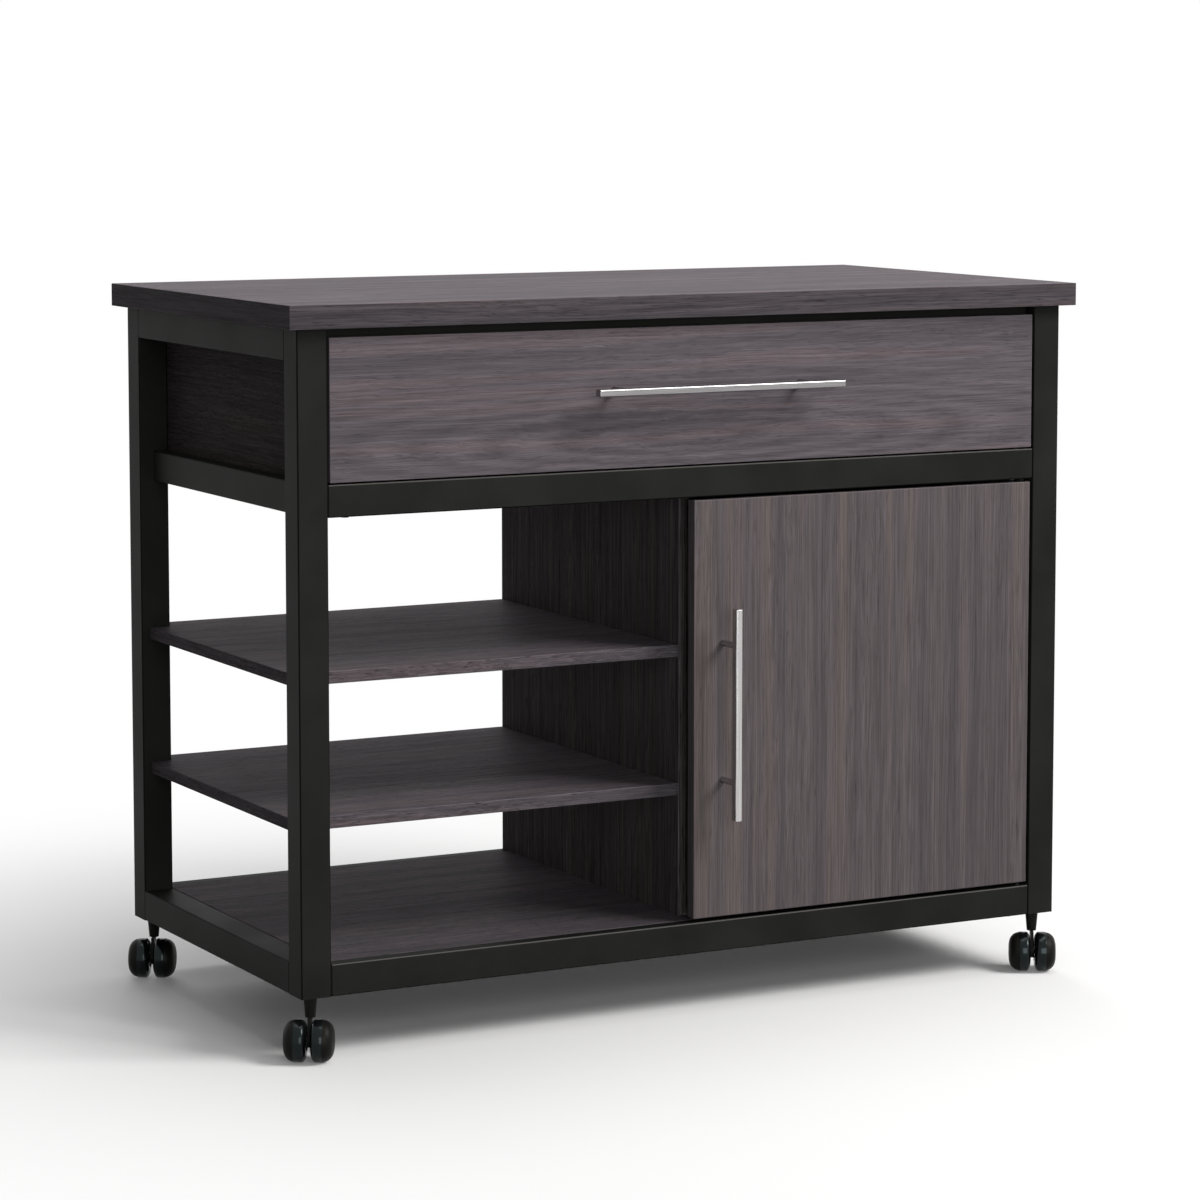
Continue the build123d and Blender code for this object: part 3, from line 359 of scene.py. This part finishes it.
def brushedMetal(name, look):
    # Steel drawn through a belt along its length: long fine scratches that stretch the highlight
    material, tree, surface = newMaterial(name)
    coords = addNode(tree, "ShaderNodeTexCoord")
    stretch = addNode(tree, "ShaderNodeVectorMath", {
        "operation": "MULTIPLY", 1: perMetre(*look["scratch"])}, {0: coords.outputs["Object"]})
    scratch = addNode(tree, "ShaderNodeTexNoise", {"Scale": 1.0, "Detail": 2.0}, {
        "Vector": stretch.outputs[0]}).outputs[0]
    mottled(tree, surface, look, scratch, metal["roughnessSpread"])
    pressedGrain(tree, surface, scratch, metal["bumpStrength"], metal["bumpDepth"])
    surface.inputs["Metallic"].default_value = 1.0
    return material


plastic = {"flow": 18, "roughnessSpread": (0.03, 0.05), "bumpDepth": 0.0001}   # flow in millimetres


def mouldedPlastic(name, look):
    # Moulded plastic: one even colour with a faint flow mottle, and the grain of the mould
    material, tree, surface = newMaterial(name)
    coords = addNode(tree, "ShaderNodeTexCoord")
    flow = addNode(tree, "ShaderNodeTexNoise", {"Scale": 1000 / plastic["flow"], "Detail": 3.0}, {
        "Vector": coords.outputs["Object"]})
    grit = addNode(tree, "ShaderNodeTexNoise", {"Scale": 1000 / look["grit"], "Detail": 1.0}, {
        "Vector": coords.outputs["Object"]})
    mottled(tree, surface, look, flow.outputs[0], plastic["roughnessSpread"])
    pressedGrain(tree, surface, grit.outputs[0], look["bump"], plastic["bumpDepth"])
    surface.inputs["Specular IOR Level"].default_value = look["sheen"]
    surface.inputs["Specular Tint"].default_value = linearColour(look["sheenTint"])
    return material


coat = powderCoat()
handleDrawer = brushedMetal("Polished steel bar, lengthwise", {
    "scratch": (60, 0.6, 0.6), "dark": "8b8989", "light": "a3a1a1", "roughness": 0.20})
# Same steel, lighter colour than the lengthwise bar: painted highlight for the lamp highlights an upright bar
# catches less
brightenedUprightBar = brushedMetal("Polished steel bar, upright", {
    "scratch": (0.6, 0.6, 60), "dark": "b2b0b0", "light": "c8c6c6", "roughness": 0.20})
zinc = brushedMetal("Zinc-plated steel", {
    "scratch": (3, 12, 3), "dark": "9da1a5", "light": "b9bcc0", "roughness": 0.34})
darkSteel = brushedMetal("Blackened steel stem", {
    "scratch": (2, 2, 6), "dark": "2a2b2c", "light": "3a3b3c", "roughness": 0.38})
nylon = mouldedPlastic("Black nylon", {
    "grit": 0.9, "dark": "151617", "light": "1c1d1e", "roughness": 0.50, "bump": 0.15,
    "sheen": 0.3, "sheenTint": "ffffff"})
# Its teal sheen tint is a painted reflection colour that tints the wheels' glints teal
glossPlastic = mouldedPlastic("Glossy black caster plastic", {
    "grit": 1.4, "dark": "0a0b0b", "light": "0f1213", "roughness": 0.16, "bump": 0.04,
    "sheen": 0.28, "sheenTint": "cbdfe3"})
capPlastic = mouldedPlastic("Satin black wheel cap", {
    "grit": 0.8, "dark": "10100f", "light": "161513", "roughness": 0.42, "bump": 0.10,
    "sheen": 0.08, "sheenTint": "ffffff"})
melamine = mouldedPlastic("Grey melamine drawer board", {
    "grit": 0.8, "dark": "6d6a68", "light": "787472", "roughness": 0.50, "bump": 0.10,
    "sheen": 0.3, "sheenTint": "ffffff"})
beech = mouldedPlastic("Beech dowel", {
    "grit": 1.2, "dark": "b08d62", "light": "c9a679", "roughness": 0.60, "bump": 0.2,
    "sheen": 0.2, "sheenTint": "ffffff"})

finishes = {
    "frame_coat": coat,
    "drawer_box_board": melamine,
    "zinc_steel": zinc,
    "dowel_wood": beech,
    "nylon": nylon,
    "hood_plastic": capPlastic,
    "wheel_plastic": glossPlastic,
}
ownFinish = {"drawer_handle": handleDrawer, "door_handle": brightenedUprightBar, "caster_stems": darkSteel,
             "rail_screws": darkSteel, "cleat_screws": darkSteel, "worktop_screws": darkSteel,
             "door_pivot_pins": coat, "shelf_pins": darkSteel}
for nodeName, look in boards.items():
    ownFinish[nodeName] = woodgrainLaminate(
        "Woodgrain laminate, " + nodeName.replace("_", " "), {**plainBoard, **look})

slotOf = {entry["node"]: entry["material_slot"] for entry in frame["record"]["subparts"]}
for nodeName, node in nodes.items():
    finish = ownFinish.get(nodeName) or finishes[slotOf[nodeName]]
    node.data.materials.clear()
    node.data.materials.append(finish)
print("finishes assigned")


# Pieces modelled here, each in place of its CAD node


def startEdit(mode):
    # Edit mode with nothing selected, in vertex, edge or face mode
    bpy.ops.object.mode_set(mode="EDIT")
    bpy.ops.mesh.select_mode(type=mode)
    bpy.ops.mesh.select_all(action="DESELECT")


def pickFaces(test):
    # Selects the faces for which test(centre, normal) is true
    piece = bpy.context.object
    bpy.ops.mesh.select_all(action="DESELECT")
    bpy.ops.object.mode_set(mode="OBJECT")
    for face in piece.data.polygons:
        face.select = test(face.center, face.normal)
    bpy.ops.object.mode_set(mode="EDIT")


def bevelAndSmooth(piece, width, segments, angle):
    bevel = piece.modifiers.new("Bevel", "BEVEL")
    bevel.width = width
    bevel.segments = segments
    bevel.limit_method = "ANGLE"
    bevel.angle_limit = radians(angle)
    bpy.ops.object.modifier_apply(modifier=bevel.name)
    bpy.ops.object.shade_smooth_by_angle(angle=radians(angle))


def placeCopy(master, name, place, body):
    # A copy with its own mesh, whose place is in the mesh
    piece = bpy.data.objects.new(name, master.data.copy())
    bpy.context.collection.objects.link(piece)
    piece.data.transform(place)
    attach(piece, body)
    return piece


def dropMaster(master):
    bpy.data.objects.remove(master, do_unlink=True)


casterWheel = {
    "radius": 0.025,
    "inside": 0.0025,      # from the middle of the caster to the wheel's inner face
    "innerFace": 0.0140,   # radius of that face
    "flare": 0.0055,       # how far the tread stands out from the inner face
    "flareSteps": 5,
    "tread": 0.0090,
    "rimStep": 0.0008,     # step between the tread and the dome
    "hubRadius": 0.0090,
    "outside": 0.0295,
    "domeSteps": 9,
    "domeRound": 0.9,      # under one, the dome's shoulder is fuller than a quarter of an ellipse
    "hubRings": ((0.0007, 0), (0.0006, -0.0009), (0.0005, 0.0011), (0.0032, 0.0001), (0.0014, -0.0005)),
    "dishRings": ((0.0016, 0), (0.0008, -0.0016), (0.0054, 0), (0.0005, 0.0014)),
    "boreRim": 0.0057,
    "boreRadius": 0.00306,
    "boreDepth": 0.0150,
    "bevel": 0.00025,
    "bevelSegments": 2,
    "bevelAngle": 38,      # degrees
    "sideFacing": 0.9,     # a face that looks along the axle by more than this is a side
    "trail": 0.016,
    "turn": -30.0,         # degrees, the way that the axle points
    "facets": 96,
    "stemRadius": 0.008,
}


def extrudeRing(along, ratio):
    # The selected cap moves along the axle and is scaled about it
    bpy.ops.mesh.extrude_region_move(TRANSFORM_OT_translate={"value": (along, 0, 0)})
    bpy.ops.transform.resize(value=(1, ratio, ratio), center_override=(0, 0, 0))


def insetRings(rings):
    # One ring after another inside the selected face, each by its width and its height
    for width, height in rings:
        bpy.ops.mesh.inset(thickness=width, depth=height)


def casterWheelMaster():
    # The axle runs along X, the wheel stands on the outer side
    look = casterWheel
    bpy.ops.object.select_all(action="DESELECT")
    middle = look["inside"] + look["flare"] + look["tread"] / 2
    bpy.ops.mesh.primitive_cylinder_add(
        vertices=look["facets"], radius=look["radius"], depth=look["tread"], location=(middle, 0, 0),
        rotation=(0, radians(90), 0))
    wheel = bpy.context.object
    bpy.ops.object.transform_apply(location=True, rotation=True, scale=True)
    startEdit("FACE")
    pickFaces(lambda centre, normal: normal.x > look["sideFacing"])
    bpy.ops.mesh.inset(thickness=look["rimStep"], depth=-look["rimStep"] / 2)
    # The dome, ring by ring, from the rim to the hub
    domeStart = middle + look["tread"] / 2 - look["rimStep"] / 2
    domeReach = look["outside"] - domeStart
    rim = look["radius"] - look["rimStep"]
    lastRadius = rim
    lastHeight = 0.0
    for step in range(1, look["domeSteps"] + 1):
        turned = radians(90) * step / look["domeSteps"]
        radius = look["hubRadius"] + (rim - look["hubRadius"]) * cos(turned) ** look["domeRound"]
        height = domeReach * sin(turned)
        extrudeRing(height - lastHeight, radius / lastRadius)
        lastRadius = radius
        lastHeight = height
    # Hub cap: a groove round a slightly crowned disc
    insetRings(look["hubRings"])
    # Inner side: the flare from the tread to the flat face, ring by ring
    pickFaces(lambda centre, normal: normal.x < -look["sideFacing"])
    lastRadius = look["radius"]
    lastHeight = 0.0
    for step in range(1, look["flareSteps"] + 1):
        turned = radians(90) * step / look["flareSteps"]
        radius = look["innerFace"] + (look["radius"] - look["innerFace"]) * cos(turned)
        height = look["flare"] * sin(turned)
        extrudeRing(lastHeight - height, radius / lastRadius)
        lastRadius = radius
        lastHeight = height
    # A shallow dish in the inner face, the rim of the bore, and the bore
    insetRings(look["dishRings"])
    insetRings(((look["boreRim"] - look["boreRadius"], 0),))
    bpy.ops.mesh.extrude_region_move(TRANSFORM_OT_translate={"value": (look["boreDepth"], 0, 0)})
    bpy.ops.object.mode_set(mode="OBJECT")
    bevelAndSmooth(wheel, look["bevel"], look["bevelSegments"], look["bevelAngle"])
    wheel.data.materials.append(glossPlastic)
    wheel.data.materials.append(capPlastic)
    for face in wheel.data.polygons:
        face.material_index = 1 if face.center.x > domeStart else 0
    return wheel


def stemPlace(spot):
    # The middle of a caster's stem: the middle of the cart's corner post
    low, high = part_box("caster_stems")
    inward = casterWheel["stemRadius"]
    side = low.x + inward if "left" in spot else high.x - inward
    end = low.y + inward if "front" in spot else high.y - inward
    return Vector((side, end, 0.0))


wheelMaster = casterWheelMaster()
for spot in ("front_left", "front_right", "rear_left", "rear_right"):
    axleTurn = Matrix.Rotation(radians(casterWheel["turn"]), 4, "Z")
    back = axleTurn @ Vector((0, -casterWheel["trail"], 0))
    axle = stemPlace(spot) + back + Vector((0, 0, casterWheel["radius"]))
    for letter, half in (("a", 180), ("b", 0)):
        nodeName = "caster_wheel_" + spot + "_" + letter
        place = Matrix.Translation(axle) @ axleTurn @ Matrix.Rotation(radians(half), 4, "Z")
        piece = placeCopy(wheelMaster, nodeName.replace("caster_wheel", "domed_wheel"), place,
                          "wheel_" + spot + "_" + letter)
        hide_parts(nodeName)
dropMaster(wheelMaster)
print("caster wheels made")


# Floor, light and camera


def stageFloor():
    floorLook = {"size": 14.0, "colour": "f8f8f8", "bounce": "585858", "nearFade": 0.35, "farFade": 1.50,
                 "roughness": 0.9, "sheen": 0.1}
    bpy.ops.mesh.primitive_plane_add(size=floorLook["size"], location=(0, 0, 0))
    floor = bpy.context.object
    floor.name = "floor"
    material, tree, surface = newMaterial("White studio floor")
    coords = addNode(tree, "ShaderNodeTexCoord")
    reach = addNode(tree, "ShaderNodeVectorMath", {"operation": "LENGTH"}, {0: coords.outputs["Object"]})
    fade = addNode(tree, "ShaderNodeMapRange", {
        "interpolation_type": "SMOOTHSTEP", "From Min": floorLook["nearFade"],
        "From Max": floorLook["farFade"]}, {0: reach.outputs["Value"]})
    seen = addNode(tree, "ShaderNodeLightPath")
    direct = addNode(tree, "ShaderNodeMath", {"operation": "MAXIMUM"}, {
        0: seen.outputs["Is Camera Ray"], 1: seen.outputs["Is Transmission Ray"]})
    clear = addNode(tree, "ShaderNodeMath", {"operation": "MAXIMUM"}, {
        0: direct.outputs[0], 1: seen.outputs["Is Glossy Ray"]})
    faded = addNode(tree, "ShaderNodeMath", {"operation": "MULTIPLY"}, {
        0: fade.outputs[0], 1: clear.outputs[0]})
    white = addNode(tree, "ShaderNodeEmission", {"Color": (1, 1, 1, 1), "Strength": 1.0})
    mixed = addNode(tree, "ShaderNodeMixShader", links={
        0: faded.outputs[0], 1: surface.outputs[0], 2: white.outputs[0]})
    output = [node for node in tree.nodes if node.type == "OUTPUT_MATERIAL"][0]
    tree.links.new(mixed.outputs[0], output.inputs[0])
    # The camera sees a white floor, while the light that it throws back up stays low, as from a dark studio
    shade = addNode(tree, "ShaderNodeMix", {
        "data_type": "RGBA", 6: linearColour(floorLook["bounce"]), 7: linearColour(floorLook["colour"])}, {
        0: clear.outputs[0]})
    tree.links.new(shade.outputs[2], surface.inputs["Base Color"])
    surface.inputs["Roughness"].default_value = floorLook["roughness"]
    surface.inputs["Specular IOR Level"].default_value = floorLook["sheen"]
    floor.data.materials.append(material)


def areaLamp(name, look):
    bpy.ops.object.light_add(type="AREA", location=look["place"])
    lamp = bpy.context.object
    lamp.name = name
    lamp.data.energy = look["power"]
    lamp.data.size = look["size"]
    lamp.data.color = look["colour"]
    lamp.visible_glossy = look.get("glare", True)
    away = Vector(look["place"]) - Vector(look["target"])
    lamp.rotation_euler = away.to_track_quat("Z", "Y").to_euler()


def studioWorld():
    worldLook = {"ambient": 0.03}
    world = bpy.data.worlds.new("Studio")
    bpy.context.scene.world = world
    world.use_nodes = True
    tree = world.node_tree
    tree.nodes.clear()
    path = addNode(tree, "ShaderNodeLightPath")
    direct = addNode(tree, "ShaderNodeMath", {"operation": "MAXIMUM"}, {
        0: path.outputs["Is Camera Ray"], 1: path.outputs["Is Transmission Ray"]})
    seen = addNode(tree, "ShaderNodeMath", {"operation": "MAXIMUM"}, {
        0: direct.outputs[0], 1: path.outputs["Is Glossy Ray"]})
    strength = addNode(tree, "ShaderNodeMapRange", {"To Min": worldLook["ambient"], "To Max": 1.0}, {
        0: seen.outputs[0]})
    sky = addNode(tree, "ShaderNodeBackground", {"Color": (1, 1, 1, 1)}, {"Strength": strength.outputs[0]})
    addNode(tree, "ShaderNodeOutputWorld", links={0: sky.outputs[0]})


lamps = {
    "key lamp": {"place": (2.6, -2.9, 3.6), "target": (0.0, 0.0, 0.5), "power": 225, "size": 2.2,
                 "colour": (1.0, 0.99, 0.98)},
    "front lamp": {"place": (-1.0, -5.2, 1.3), "target": (0.0, 0.0, 0.4), "power": 125, "size": 3.0,
                   "colour": (1.0, 1.0, 1.0)},
    "top lamp": {"place": (0.4, 0.2, 3.4), "target": (0.0, 0.0, 0.8), "power": 45, "size": 2.4,
                 "colour": (1.0, 1.0, 1.0)},
    "back lamp": {"place": (0.8, 4.8, 1.5), "target": (0.0, 0.0, 0.4), "power": 130, "size": 3.0,
                  "colour": (1.0, 1.0, 1.0), "glare": False},
}

stageFloor()
studioWorld()
for lampName, look in lamps.items():
    areaLamp(lampName, look)
print("floor, world and lamps made")

cameraLook = {
    "place": (-2.3153, -4.3655, 1.1344),
    "down": 5.80,      # degrees below the horizon
    "turn": -27.95,    # degrees, seen from the left of the front
    "lens": 118.25,
    "sensor": 36.0,
    "shiftY": -0.1,
    "clipEnd": 100,
}
bpy.ops.object.camera_add(
    location=cameraLook["place"],
    rotation=(radians(90 - cameraLook["down"]), 0, radians(cameraLook["turn"])),
)
camera = bpy.context.object
camera.data.sensor_width = cameraLook["sensor"]
camera.data.lens = cameraLook["lens"]
camera.data.shift_y = cameraLook["shiftY"]
camera.data.clip_end = cameraLook["clipEnd"]
bpy.context.scene.camera = camera
bpy.context.scene.view_settings.view_transform = "Standard"
print("camera placed")
